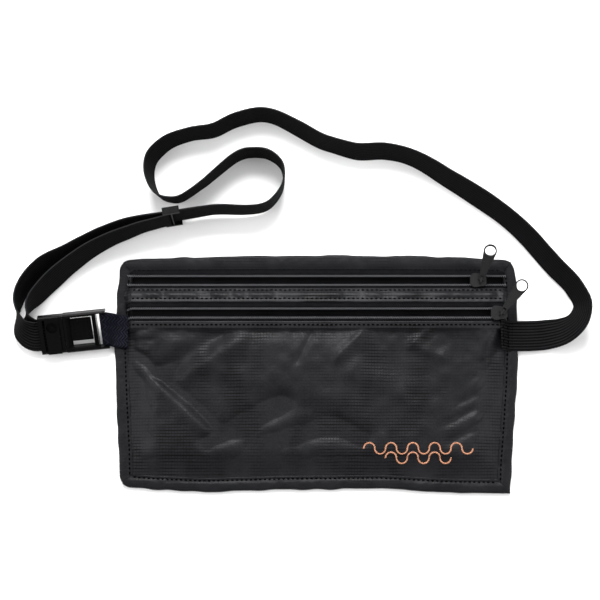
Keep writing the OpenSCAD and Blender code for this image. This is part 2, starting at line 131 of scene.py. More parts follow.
def mesh_piece(name, points, faces, material, body, uvs=None):
    """A smooth-shaded mesh object in the frame. It rides on a body unless body is None."""
    mesh = bpy.data.meshes.new(name)
    mesh.from_pydata([tuple(p) for p in np.asarray(points, float)], [], faces)
    if uvs is not None:
        layer = mesh.uv_layers.new(name="along")
        index = np.empty(len(mesh.loops), int)
        mesh.loops.foreach_get("vertex_index", index)
        layer.data.foreach_set("uv", np.asarray(uvs, float)[index].ravel())
    mesh.materials.append(material)
    mesh.polygons.foreach_set("use_smooth", [True] * len(mesh.polygons))
    mesh.update()
    piece = bpy.data.objects.new(name, mesh)
    bpy.context.scene.collection.objects.link(piece)
    if body is not None:
        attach(piece, body)
    return piece


def grid_faces(rows, cols, start=0, flip=False, wrap=False):
    faces = []
    for r in range(rows - 1):
        for c in range(cols if wrap else cols - 1):
            a, b = start + r * cols + c, start + r * cols + (c + 1) % cols
            quad = (a, b, b + cols, a + cols)
            faces.append(quad[::-1] if flip else quad)
    return faces


def slab(x, y, z, thickness):
    """Points and faces of a closed sheet whose upper face is the grid x, y, z."""
    rows, cols = z.shape
    upper = np.stack([x, y, z], -1).reshape(-1, 3)
    lower = upper - np.array([0, 0, thickness])
    n = rows * cols
    rim = list(range(cols)) + [r * cols + cols - 1 for r in range(1, rows)]
    rim += [(rows - 1) * cols + c for c in range(cols - 2, -1, -1)]
    rim += [r * cols for r in range(rows - 2, 0, -1)]
    faces = grid_faces(rows, cols) + grid_faces(rows, cols, n, True)
    faces += [(b, a, a + n, b + n) for a, b in zip(rim, rim[1:] + rim[:1])]
    return np.concatenate([upper, lower]), faces


# ---------------------------------------------------------------- materials

class Material:
    """A procedural material: a principled shader and short calls that add nodes to it."""

    def __init__(self, name, slot, colour, roughness, **sockets):
        self.data = bpy.data.materials.new(name)
        self.data.use_nodes = True
        self.slot = slot
        self.nodes, self.links = self.data.node_tree.nodes, self.data.node_tree.links
        self.shader = self.nodes["Principled BSDF"]
        self.shader.inputs["Base Color"].default_value = (*colour, 1)
        self.shader.inputs["Roughness"].default_value = roughness
        for socket, value in sockets.items():
            self.shader.inputs[socket.replace("_", " ")].default_value = value

    def add(self, kind, inputs=(), **settings):
        node = self.nodes.new("ShaderNode" + kind)
        for key, value in settings.items():
            setattr(node, key, value)
        for key, value in dict(inputs).items():
            if isinstance(value, bpy.types.NodeSocket):
                self.links.new(value, node.inputs[key])
            else:
                node.inputs[key].default_value = value
        return node

    def math(self, operation, a, b=0.0):
        return self.add("Math", {0: a, 1: b}, operation=operation).outputs[0]

    def object_place(self):
        place = self.add("TexCoord").outputs["Object"]
        split = self.add("SeparateXYZ", {0: place})
        return place, split.outputs[0], split.outputs[1]

    def along_place(self):
        place = self.add("UVMap", uv_map="along").outputs[0]
        split = self.add("SeparateXYZ", {0: place})
        return place, split.outputs[0], split.outputs[1]

    def wave(self, value, period):
        """A sine of that period, from 0 to 1."""
        turned = self.math("MULTIPLY", value, 2 * math.pi / period)
        return self.half(self.math("SINE", turned))

    def half(self, value):
        node = self.add("Math", {0: value, 1: 0.5, 2: 0.5}, operation="MULTIPLY_ADD")
        return node.outputs[0]

    def line(self, value, period, share):
        """1 on thin lines a period apart, 0 between them."""
        saw = self.math("PINGPONG", value, period / 2)
        return self.add(
            "MapRange",
            {0: saw, 1: 0.0, 2: period / 2 * share, 3: 1.0, 4: 0.0},
            interpolation_type="SMOOTHSTEP",
        ).outputs[0]

    def noise(self, place, size, detail=2.0, stretch=(1, 1, 1)):
        if stretch != (1, 1, 1):
            place = self.add("Mapping", {0: place, 3: stretch}).outputs[0]
        inputs = {0: place, "Scale": 1 / size, "Detail": detail}
        return self.add("TexNoise", inputs).outputs[0]

    def colour(self, factor, dark, light):
        mix = self.add("MixRGB", {0: factor, 1: (*dark, 1), 2: (*light, 1)})
        self.links.new(mix.outputs[0], self.shader.inputs["Base Color"])

    def roughness(self, factor, low, high):
        mapped = self.add("MapRange", {0: factor, 3: low, 4: high}).outputs[0]
        self.links.new(mapped, self.shader.inputs["Roughness"])

    def bump(self, *layers):
        """Each layer is (height from 0 to 1, depth in metres)."""
        normal = None
        for height, depth in layers:
            inputs = {"Height": height, "Distance": depth, "Strength": 1.0}
            if normal is not None:
                inputs["Normal"] = normal
            normal = self.add("Bump", inputs).outputs[0]
        self.links.new(normal, self.shader.inputs["Normal"])


def ripstop(name="ripstop_cloth", light=1.0, grid_share=0.62):
    m = Material(name, "ripstop", (0.006, 0.006, 0.007), 0.44, Specular_IOR_Level=0.11 * light)
    place, x, y = m.object_place()
    wander = m.noise(place, 30 * MM)
    drift = m.math("MULTIPLY", wander, 1.2 * MM)
    x2, y2 = m.math("ADD", x, drift), m.math("ADD", y, drift)
    warp_lines = m.line(x2, 1.9 * MM, 0.42)
    weft_lines = m.line(y2, 2.0 * MM, 0.42)
    strong_weft = m.line(y2, 4.0 * MM, 0.34)
    columns = m.noise(place, 20 * MM, 2.0, (1, 0.4, 1))
    patchy = m.add("MapRange", {0: columns, 1: 0.38, 2: 0.66, 3: 0.1, 4: 1.0}).outputs[0]
    grid = m.math("MAXIMUM", m.math("MULTIPLY", warp_lines, 0.5), weft_lines)
    lines = m.math("MULTIPLY", m.math("MAXIMUM", grid, strong_weft), patchy)
    threads = m.math("MULTIPLY", m.wave(x2, 0.38 * MM), m.wave(y2, 0.4 * MM))
    broad = m.noise(place, 18 * MM, 3.0)
    fine = m.noise(place, 1.1 * MM, 2.0)
    tone = m.math("ADD", m.math("MULTIPLY", broad, 0.6), m.math("MULTIPLY", fine, 0.4))
    tone = m.math("SUBTRACT", tone, m.math("MULTIPLY", lines, grid_share))
    bright = (0.0178 * light, 0.0178 * light, 0.021 * light)
    m.colour(tone, (0.0003, 0.0003, 0.0004), bright)
    m.roughness(lines, 0.42, 0.9)
    m.bump((lines, 0.05 * grid_share * MM), (threads, 0.015 * MM), (m.noise(place, 6 * MM, 3.0), 0.3 * MM))
    return m


def tape():
    m = Material("zip_tape_weave", "zip_tape", (0.006, 0.006, 0.007), 0.75, Specular_IOR_Level=0.03)
    place, x, y = m.object_place()
    twill = m.wave(m.math("ADD", x, m.math("MULTIPLY", y, 0.8)), 1.6 * MM)
    cross = m.wave(y, 0.45 * MM)
    weave = m.math("MULTIPLY", twill, m.noise(place, 4 * MM))
    m.colour(weave, (0.0003, 0.0003, 0.0005), (0.0135, 0.0135, 0.016))
    m.bump((twill, 0.2 * MM), (cross, 0.05 * MM))
    return m


def coil_nylon():
    m = Material("coil_nylon", "zip_coil", (0.05, 0.05, 0.055), 0.28, Specular_IOR_Level=0.35)
    place = m.object_place()[0]
    # The coil is painted grey, far lighter than its tape, as a painted highlight that makes the teeth read
    # as light dots. The random variation in it is the nylon's own.
    m.colour(m.noise(place, 2 * MM), (0.035, 0.035, 0.04), (0.12, 0.12, 0.13))
    m.bump((m.noise(place, 0.3 * MM), 0.02 * MM))
    return m


def elastic():
    m = Material("elastic_knit", "elastic", (0.004, 0.004, 0.005), 0.7, Specular_IOR_Level=0.02)
    place, along, across = m.along_place()
    knit = m.wave(m.math("ADD", along, m.math("MULTIPLY", across, 0.5)), 0.85 * MM)
    ribs = m.wave(across, STRAP_W / 10.5)
    out = m.math("ABSOLUTE", across)
    rim = m.add("MapRange", {0: out, 1: 0.45 * STRAP_W, 2: 0.5 * STRAP_W}).outputs[0]
    worn = m.noise(place, 9 * MM, 3.0)
    # The grooves between the ribs are painted dark as shade, and both edges of the band are painted light
    # as a highlight along its rims. The knit and the random worn patches are the elastic's own.
    tone = m.math("MULTIPLY", m.half(worn), m.math("MULTIPLY", ribs, m.half(knit)))
    m.colour(m.math("MAXIMUM", tone, rim), (0.0003, 0.0003, 0.0003), (0.016, 0.016, 0.0172))
    m.roughness(worn, 0.6, 0.82)
    m.bump((ribs, 0.12 * MM), (knit, 0.08 * MM), (m.noise(place, 0.5 * MM), 0.05 * MM))
    return m


def webbing():
    m = Material("webbing_twill", "webbing", (0.007, 0.008, 0.014), 0.6, Specular_IOR_Level=0.04)
    place, along, across = m.along_place()
    zigzag = m.math("PINGPONG", across, 2.75 * MM)
    twill = m.wave(m.math("ADD", along, zigzag), 2.2 * MM)
    weave = m.math("MULTIPLY", twill, m.noise(place, 3 * MM))
    m.colour(weave, (0.0003, 0.0003, 0.0006), (0.0175, 0.019, 0.032))
    m.bump((twill, 0.3 * MM), (m.wave(across, 0.5 * MM), 0.05 * MM))
    return m


def buckle_plastic():
    m = Material("moulded_plastic", "buckle_plastic", (0.003, 0.003, 0.003), 0.25, Specular_IOR_Level=0.05)
    place = m.object_place()[0]
    scuffs = m.noise(place, 1.2 * MM, 6.0, (1, 1, 6))
    m.colour(scuffs, (0.001, 0.001, 0.001), (0.004, 0.004, 0.0043))
    m.roughness(m.noise(place, 3 * MM, 4.0), 0.18, 0.32)
    m.bump((m.noise(place, 0.25 * MM, 2.0), 0.012 * MM), (m.noise(place, 2.5 * MM), 0.03 * MM))
    return m


def lacquered_metal():
    m = Material("lacquered_metal", "black_metal", (0.006, 0.006, 0.007), 0.25, Specular_IOR_Level=0.45)
    place = m.object_place()[0]
    scratches = m.noise(place, 1.5 * MM, 5.0, (1, 9, 1))
    m.colour(scratches, (0.001, 0.001, 0.0012), (0.009, 0.009, 0.01))
    m.roughness(scratches, 0.18, 0.32)
    m.bump((scratches, 0.015 * MM))
    return m


def copper_thread():
    m = Material("copper_thread", "thread", (0.5, 0.2, 0.1), 0.42)
    place = m.object_place()[0]
    m.colour(m.noise(place, 0.9 * MM, 2.0), (0.30, 0.10, 0.045), (0.78, 0.40, 0.24))
    m.bump((m.noise(place, 0.12 * MM), 0.03 * MM))
    return m


def seam_thread():
    m = Material("seam_thread", "ripstop", (0.001, 0.001, 0.001), 0.8, Specular_IOR_Level=0.02)
    place = m.object_place()[0]
    # The thread is painted near black, darker than the cloth. It is black thread, darkened further as
    # painted shade in the stitch holes.
    m.colour(m.noise(place, 1 * MM), (0.0002, 0.0002, 0.0002), (0.001, 0.001, 0.001))
    m.bump((m.noise(place, 0.15 * MM), 0.03 * MM))
    return m


# The lining cloth is the ripstop at about a third of its brightness: painted shade for the inside of the
# pockets, seen through the zips.
RIPSTOP, PAINTED_SHADE_LINING, TAPE = ripstop(), ripstop("painted_shade_lining_cloth", 0.35), tape()
BINDING = ripstop("binding_cloth", 0.8, 0.2)
COIL, ELASTIC = coil_nylon(), elastic()
WEBBING, PLASTIC, METAL = webbing(), buckle_plastic(), lacquered_metal()
COPPER, SEAM = copper_thread(), seam_thread()


def stand_for(piece, material, *nodes):
    """Shows the piece in place of the frame's nodes."""
    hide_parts(*nodes)
    return piece


# ---------------------------------------------------------------- camera, floor and light

TARGET = Vector((-0.011, 0.05, 0))
DISTANCE = 0.9
ELEVATION = math.radians(80)
VIEW_WIDTH = 0.396
FLOOR_HALF = 3.0
SKY_STRENGTH = 0.55
KEY_WATTS, SIDE_WATTS = 40, 12


def aim(thing, target):
    thing.rotation_euler = (target - thing.location).to_track_quat("-Z", "Y").to_euler()


def make_camera():
    data = bpy.data.cameras.new("camera")
    data.sensor_width = 36
    data.lens = 36 * DISTANCE / VIEW_WIDTH
    camera = bpy.data.objects.new("camera", data)
    bpy.context.scene.collection.objects.link(camera)
    camera.location = TARGET + DISTANCE * Vector((0, -math.cos(ELEVATION), math.sin(ELEVATION)))
    aim(camera, TARGET)
    bpy.context.scene.camera = camera


def area_light(name, place, size, watts):
    data = bpy.data.lights.new(name, "AREA")
    data.shape = "SQUARE"
    data.size = size
    data.energy = watts
    light = bpy.data.objects.new(name, data)
    bpy.context.scene.collection.objects.link(light)
    light.location = place
    aim(light, TARGET)


def make_stage():
    half = FLOOR_HALF
    corners = [(-half, -half, 0), (half, -half, 0), (half, half, 0), (-half, half, 0)]
    mesh = bpy.data.meshes.new("floor")
    mesh.from_pydata(corners, [], [(0, 1, 2, 3)])
    paper = bpy.data.materials.new("floor_paper")
    paper.use_nodes = True
    shader = paper.node_tree.nodes["Principled BSDF"]
    shader.inputs["Base Color"].default_value = (0.9, 0.9, 0.9, 1)
    shader.inputs["Roughness"].default_value = 0.9
    shader.inputs["Specular IOR Level"].default_value = 0.1
    mesh.materials.append(paper)
    floor = bpy.data.objects.new("floor", mesh)
    bpy.context.scene.collection.objects.link(floor)
    world = bpy.data.worlds.new("studio")
    world.use_nodes = True
    background = world.node_tree.nodes["Background"]
    background.inputs["Color"].default_value = (1, 1, 1, 1)
    background.inputs["Strength"].default_value = SKY_STRENGTH
    bpy.context.scene.world = world
    bpy.context.scene.view_settings.view_transform = "Standard"
    area_light("key", (-0.1, 1.1, 1.0), 0.7, KEY_WATTS)
    area_light("left", (-1.2, 0.1, 1.0), 1.0, SIDE_WATTS)
    area_light("right", (1.2, 0.0, 1.0), 1.0, SIDE_WATTS)


make_camera()
make_stage()

# ---------------------------------------------------------------- the elastic strap

# The elastic's route, as x, y, lean and lift. Lean is in degrees, the tilt of the band's upper edge to
# the right of the way it runs. Lift is how far the band is held off the floor.
RUN_ROUTE = [
    (0.1276, 0.0255, 90, 0.0025), (0.138, 0.0255, 90, 0.0025), (0.15, 0.0265, 84, 0.0008),
    (0.161, 0.029, 64, 0), (0.17, 0.0355, 40, 0), (0.1735, 0.045, 26, 0), (0.169, 0.056, 24, 0),
    (0.156, 0.071, 26, 0), (0.131, 0.099, 26, 0), (0.09, 0.1285, 21, 0), (0.064, 0.144, 18, 0),
    (0.047, 0.149, 17, 0), (0.026, 0.149, 17, 0), (0.007, 0.1545, 16, 0), (-0.04, 0.174, 11, 0),
    (-0.053, 0.1705, 12, 0), (-0.068, 0.1635, 12, 0), (-0.085, 0.1605, 12, 0), (-0.101, 0.1535, 13, 0),
    (-0.11, 0.144, 14, 0), (-0.1105, 0.129, 12, 0), (-0.104, 0.118, 7, 0), (-0.094, 0.1155, 3, 0),
    (-0.076, 0.126, 0, 0), (-0.045, 0.1475, -4, 0), (-0.032, 0.1465, -3, 0), (-0.023, 0.139, 0, 0),
    (-0.0225, 0.125, 0, 0), (-0.03, 0.1135, 1, 0.0005), (-0.07, 0.108, 5, 0.0022),
    (-0.095, 0.1039, 6.5, 0.0024), (-0.125, 0.099, 8, 0.002), (-0.164, 0.0805, 15, 0),
    (-0.181, 0.071, 16, 0), (-0.191, 0.0585, 15, 0), (-0.195, 0.046, 4, 0),
    (-0.1946, 0.0365, -18, 0.0008), (-0.1915, 0.0285, -44, 0.0027), (-0.185, 0.0244, -61, 0.0042),
    (-0.1735, 0.0255, -63, 0.0046),
]
RETURN_ROUTE = [
    (-0.1737, 0.0268, 63, 0.0016), (-0.1815, 0.0256, 62, 0.0011), (-0.1864, 0.0292, 52, 0),
    (-0.1889, 0.0352, 27, 0), (-0.188, 0.042, 4, 0), (-0.184, 0.049, -15, 0), (-0.179, 0.0553, -22, 0),
    (-0.174, 0.061, -26, 0), (-0.162, 0.072, -22, 0), (-0.148, 0.082, -17, 0),
    (-0.134, 0.0895, -12, 0.0008), (-0.125, 0.093, -10, 0.0015), (-0.117, 0.096, -8, 0.002),
    (-0.103, 0.0999, -6.5, 0.0025), (-0.0964, 0.1015, -6.5, 0.0025),
]


def smooth_route(route, step):
    """Points a step apart along the smooth curve through the route's points."""
    r = np.array(route, float)
    gaps = np.linalg.norm(np.diff(r[:, :2], axis=0), axis=1)
    slopes = np.empty_like(r)
    slopes[0] = (r[1] - r[0]) / gaps[0]
    slopes[-1] = (r[-1] - r[-2]) / gaps[-1]
    for i in range(1, len(r) - 1):
        before, after = gaps[i - 1], gaps[i]
        rise = (r[i] - r[i - 1]) * after / before + (r[i + 1] - r[i]) * before / after
        slopes[i] = rise / (before + after)
    fine = []
    for i, d in enumerate(gaps):
        for t in np.linspace(0, 1, max(4, int(d / (0.25 * MM))), endpoint=False):
            t2, t3 = t * t, t * t * t
            fine.append(
                r[i] * (2 * t3 - 3 * t2 + 1) + slopes[i] * d * (t3 - 2 * t2 + t)
                + r[i + 1] * (3 * t2 - 2 * t3) + slopes[i + 1] * d * (t3 - t2)
            )
    fine = np.array(fine + [r[-1]])
    along = np.concatenate([[0], np.cumsum(np.linalg.norm(np.diff(fine[:, :2], axis=0), axis=1))])
    even = np.linspace(0, along[-1], int(along[-1] / step) + 1)
    return np.stack([np.interp(even, along, fine[:, k]) for k in range(4)], 1)


def band_frames(path):
    """Centres, unit widths and unit normals of a band standing on the floor along a path."""
    lean = np.radians(path[:, 2])
    z = STRAP_W / 2 * np.cos(lean) + STRAP_T / 2 * np.abs(np.sin(lean)) + path[:, 3]
    centres = np.column_stack([path[:, 0], path[:, 1], z])
    ahead = np.gradient(centres, axis=0)
    right = unit(np.column_stack([ahead[:, 1], -ahead[:, 0], np.zeros(len(path))]))
    widths = np.cos(lean)[:, None] * UP + np.sin(lean)[:, None] * right
    normals = unit(np.cross(ahead, widths))
    return centres, unit(widths), normals


def elastic_outline():
    """Half across, then back: (place across the band, place through it) with the ribs of the knit."""
    half_w, half_t, rib = STRAP_W / 2, STRAP_T / 2, STRAP_W / 10.5
    across = np.linspace(half_w, -half_w, 53)
    round_off = np.clip((np.abs(across) - (half_w - half_t)) / half_t, 0, 1)
    crown = (half_t - 0.12 * MM) * np.sqrt(np.clip(1 - round_off ** 2, 0.02, 1))
    ribs = 0.12 * MM * np.abs(np.cos(math.pi * across / rib)) * (1 - round_off)
    front = np.column_stack([across, crown + ribs])
    back = np.column_stack([across[::-1], -(crown + ribs)[::-1]])
    return np.concatenate([front, back[1:-1]])


def band_mesh(name, centres, widths, normals, outline, material, body, edge=None):
    """A closed band swept through the frames. edge gives how far each ring's edges stand out."""
    rings = len(centres)
    sides = len(outline)
    half = np.abs(outline[:, 0]).max()
    across = np.tile(outline[:, 0], (rings, 1))
    if edge is not None:
        at_edge = np.clip((np.abs(across) / half - 0.93) / 0.07, 0, 1) * np.sign(across)
        across = across + at_edge * edge[:, None]
    points = centres[:, None] + across[..., None] * widths[:, None]
    points = points + outline[None, :, 1:] * normals[:, None]
    faces = grid_faces(rings, sides, wrap=True, flip=True)
    faces += [tuple(range(sides)), tuple(range((rings - 1) * sides, rings * sides))[::-1]]
    along = np.concatenate([[0], np.cumsum(np.linalg.norm(np.diff(centres, axis=0), axis=1))])
    uvs = np.stack([np.repeat(along, sides), np.tile(outline[:, 0], rings)], 1)
    return mesh_piece(name, points.reshape(-1, 3), faces, material.data, body, uvs)


RING_STEP = 0.8 * MM
ADJUSTER_AT = (-95 * MM, 104 * MM)
ADJUSTER_REACH = 16 * MM        # the strands have no waves this close to the adjuster
BEND_AT = (-110 * MM, 102 * MM)


def distance_from(path, place):
    return np.hypot(path[:, 0] - place[0], path[:, 1] - place[1])


def make_strap(name, node, route, seed):
    """One strand of the elastic, with small seeded waves that fade out at its ends and the adjuster."""
    path = smooth_route(route, RING_STEP)
    along = np.arange(len(path)) * RING_STEP
    loose = ease(np.minimum(along, along[::-1]) / (25 * MM))
    loose = loose * ease((distance_from(path, ADJUSTER_AT) - ADJUSTER_REACH) / (10 * MM))
    path[:, 2] += 2.5 * field(seed, 26 * MM)(along, 0 * along) * loose
    centres, widths, normals = band_frames(path)
    waves = 0.35 * MM * field(seed + 1, 14 * MM)(along, 0 * along) * loose
    centres = centres + normals * waves[:, None]
    # the strand is a little straighter than its route where the adjuster slides
    centres[:, 1] -= 0.25 * MM * np.exp(-(distance_from(path, BEND_AT) / (9 * MM)) ** 2)
    edge = 0.16 * MM * (np.abs(np.sin(math.pi * along / (1.65 * MM))) - 0.5)
    piece = band_mesh(name, centres, widths, normals, elastic_outline(), ELASTIC, None, edge)
    stand_for(piece, ELASTIC, node)
    return piece, centres


strap_long, long_line = make_strap("strap_long", "strap_run", RUN_ROUTE, 11)
strap_short, short_line = make_strap("strap_short", "strap_return", RETURN_ROUTE, 21)
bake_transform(strap_long)
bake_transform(strap_short)

# ---------------------------------------------------------------- the pouch's cloth

CLOTH_T = 0.35 * MM
BAND_W = 9 * MM                 # how far the folded binding reaches in over the cloth
SEAM_INSET = BAND_W - 2 * MM    # how far in from the edge the binding is stitched down

# How far the soft pouch's edges lie off the straight frame, as (place along the edge, offset in +X or
# +Y) in millimetres.
LEFT_EDGE = curve_through([(-76, 5), (-50, 4), (-25, 2.4), (5, 0.4), (25, -0.4), (50, 0.6), (76, 2.2)])
RIGHT_EDGE = curve_through([(-76, -8), (-55, -6.6), (-30, -4), (0, -1.4), (20, -0.4), (62, 0), (76, -2.5)])
TOP_EDGE = curve_through([(-134, 0.4), (-100, 2), (-50, 3.4), (0, 3.8), (60, 3.4), (105, 2), (134, 0.2)])
BOTTOM_EDGE = curve_through(
    [(-134, 4.5), (-118, 2.4), (-74, 0.4), (-20, 1.8), (40, 2.4), (90, 0), (134, -0.6)]
)
CORNER_R = 7 * MM


def relax(x, y):
    """Moves the flat pouch's points to where the soft pouch's outline lies."""
    x, y = np.array(x, float), np.array(y, float)
    dx, dy = np.abs(x) - (EDGE_X - CORNER_R), np.abs(y) - (EDGE_Y - CORNER_R)
    corner = (dx > 0) & (dy > 0) & ~((x > 0) & (y < 0))
    shrink = np.where(corner, np.maximum(dx, dy) / np.maximum(np.hypot(dx, dy), 1e-9), 1)
    keep = np.where(x < 0, 0.0, 0.35)
    shrink = shrink + (1 - shrink) * keep
    x2 = np.where(corner, np.sign(x) * (EDGE_X - CORNER_R + dx * shrink), x)
    y2 = np.where(corner, np.sign(y) * (EDGE_Y - CORNER_R + dy * shrink), y)
    side = ease((np.abs(x2) - 40 * MM) / (90 * MM))
    low = ease((-y2 - 10 * MM) / (62 * MM))
    high = ease((y2 - 66 * MM) / (9 * MM))
    out_x = x2 + side * np.where(x2 < 0, LEFT_EDGE(y2), RIGHT_EDGE(y2))
    out_y = y2 + high * TOP_EDGE(x2) + low * BOTTOM_EDGE(x2)
    return out_x, out_y


SIDE_RISE = curve_through([(-76, 22), (0, 22), (16, 20), (26, 12), (33, 5), (40, 4), (76, 4)])
BOTTOM_RISE = 20 * MM


def filled(x, y, hem, top):
    """Height of a layer that rises from its seams at the sides and the bottom."""
    from_side = PANEL_X - 1.5 * MM - np.abs(x)
    from_bottom = y + PANEL_Y - 1.5 * MM
    rise = ease(from_side / SIDE_RISE(y)) * ease(from_bottom / BOTTOM_RISE)
    return hem + (top - hem) * rise


def hem_height(x):
    """Height of the front pocket's upper edge, which sags at its ends."""
    return filled(x, np.full_like(x, 33 * MM), HEM_TOP, FRONT_TOP)


def shelf(x, y):
    """Height of the layers between the front zip and the top edge."""
    top = np.interp(y, [45 * MM, 57 * MM, 67 * MM, PANEL_Y], [FRONT_TOP, REAR_TOP, REAR_TOP, HEM_TOP])
    return HEM_TOP + (top - HEM_TOP) * ease((PANEL_X - 0.8 * MM - np.abs(x)) / (4.5 * MM))


# Folds and creases in the front, as start x, y, end x, y, height and half width, in millimetres.
# Each height is multiplied by the gain.
FOLD_GAIN = 2.4
FOLDS = [
    (-124, 12, -103, -7, 0.8, 3.6), (-103, -7, -71, -38, 1.4, 5), (-117, 12, -96, -8, -1.2, 3.8),
    (-96, -8, -66, -34, -1.3, 5), (-76, -45, -52, -36, -1.5, 5), (-52, -36, -18, -16, -1.5, 7),
    (-44, -50, 10, -33, -1.3, 6.5), (10, -33, 32, -45, -1.3, 6), (-104, -1, -60, 29, -1.3, 7),
    (-88, -4, -48, 24, 0.8, 6), (-13, 8, -3, 27, -0.6, 1.6), (12, 9, 31, 29, 0.9, 3),
    (60, 18, 75, 31, 0.8, 2.4), (62, 20, 84, 10, 0.7, 3.4), (20, 2, 58, -12, 0.7, 8),
    (114, -18, 84, -33, -0.7, 2.4), (116, -8, 92, -20, -0.5, 2.2), (116, -30, 86, -45, -0.6, 2.6),
    (8, -66, 16, -56, -0.9, 2.6), (40, -66, 46, -55, -0.9, 2.4), (52, -66, 58, -57, -0.7, 2.2),
    (-30, -66, -22, -58, -0.7, 3), (-62, -66, -70, -57, -0.6, 3), (86, -66, 80, -56, -0.5, 3),
    (-123, 26, -108, 32, -0.7, 1.5), (-123, 22, -106, 22, -0.7, 1.6), (-123, 17, -108, 9, -0.8, 1.6),
    (-123, 20, -110, 15, 0.6, 1.4), (120, 14, 104, 6, -0.5, 2), (118, 8, 100, -4, -0.4, 2.2),
]


def bulge(x, y):
    """The soft swelling that a pocket keeps from what it usually carries."""
    low_edge = (0.262 * (x + 0.1046) + 0.965 * (y - 0.0024)) / (13 * MM)
    left_edge = (x + 0.112 - 0.25 * y) / (16 * MM)
    right_edge = (0.040 + 0.26 * y - x) / (18 * MM)
    hem = (FRONT_EDGE - 1.5 * MM - y) / (15 * MM)
    return 2.4 * MM * ease(low_edge) * ease(left_edge) * ease(right_edge) * ease(hem)


def creases(x, y):
    """Height of the front's swelling and folds above its plain shape."""
    height = bulge(x, y)
    for x0, y0, x1, y1, rise, half in np.array(FOLDS) * MM:
        dx, dy = x1 - x0, y1 - y0
        length = math.hypot(dx, dy)
        t = ((x - x0) * dx + (y - y0) * dy) / length ** 2
        off = np.abs((x - x0) * dy - (y - y0) * dx) / length
        fade = ease((t + 0.18) / 0.3) * ease((1.18 - t) / 0.3)
        height += FOLD_GAIN * rise * np.exp(-(off / half) ** 2) * fade
    return height


def puckers(x, y, distance, seed, depth):
    """Small gathers that run out from a seam."""
    along = field(seed, 2.6 * MM)(x + 0.6 * y, 0.3 * (y - x))
    return depth * along * np.exp(-np.maximum(distance, 0) / (5 * MM))


def blur(z, times):
    """Smooths a grid of heights."""
    for _ in range(times):
        p = np.pad(z, 1, mode="edge")
        z = (p[:-2, 1:-1] + p[2:, 1:-1] + p[1:-1, :-2] + p[1:-1, 2:] + 4 * z) / 8
    return z


def panel_grid(low, high, step):
    """A grid of flat places over the pouch's width, from one height on the pouch to another."""
    xs = np.linspace(-PANEL_X, PANEL_X, int(2 * PANEL_X / step) + 1)
    ys = np.linspace(low, high, max(2, int((high - low) / step) + 1))
    return np.meshgrid(xs, ys)


CLOTH_FRAMES = 25
SLACK_FALL, SLACK_RISE = 2.6 * MM, 2.2 * MM     # how far the slack may move the cloth


def slacken(x, y, z, slack, seed):
    """Runs a cloth with some slack, sewn down along its edges, and returns its heights."""
    rows, cols = z.shape
    start = z + 0.3 * MM * field(seed, 24 * MM)(x, y)
    mesh = bpy.data.meshes.new("slack_cloth")
    points = np.stack([x, y, start], -1).reshape(-1, 3)
    mesh.from_pydata([tuple(p) for p in points], [], grid_faces(rows, cols))
    cloth = bpy.data.objects.new("slack_cloth", mesh)
    bpy.context.scene.collection.objects.link(cloth)
    sewn = cloth.vertex_groups.new(name="sewn")
    edge = np.zeros((rows, cols), bool)
    edge[:2], edge[-1:], edge[:, :2], edge[:, -2:] = True, True, True, True
    sewn.add(np.flatnonzero(edge.ravel()).tolist(), 1.0, "REPLACE")
    modifier = cloth.modifiers.new("drape", "CLOTH")
    s = modifier.settings
    s.quality = 8
    s.mass = 0.05
    s.vertex_group_mass = "sewn"
    s.shrink_min = -slack
    s.tension_stiffness = 12
    s.compression_stiffness = 12
    s.shear_stiffness = 4
    s.bending_stiffness = 0.4
    s.air_damping = 3
    s.effector_weights.gravity = 0.15
    modifier.collision_settings.use_collision = False
    scene = bpy.context.scene
    for step in range(CLOTH_FRAMES):
        scene.frame_set(step + 1)
    evaluated = cloth.evaluated_get(bpy.context.evaluated_depsgraph_get())
    co = np.empty(rows * cols * 3)
    evaluated.data.vertices.foreach_get("co", co)
    bpy.data.objects.remove(cloth)
    scene.frame_set(1)
    move = co.reshape(rows, cols, 3)[..., 2] - z
    return z + np.clip(blur(move, 1), -SLACK_FALL, SLACK_RISE)


def resample(z, shape):
    """A coarse grid of heights, made as fine as the shape and smoothed."""
    rows, cols = z.shape
    wide = np.stack([np.interp(np.linspace(0, cols - 1, shape[1]), np.arange(cols), row) for row in z])
    tall = np.stack([np.interp(np.linspace(0, rows - 1, shape[0]), np.arange(rows), c) for c in wide.T], 1)
    return blur(tall, 8)


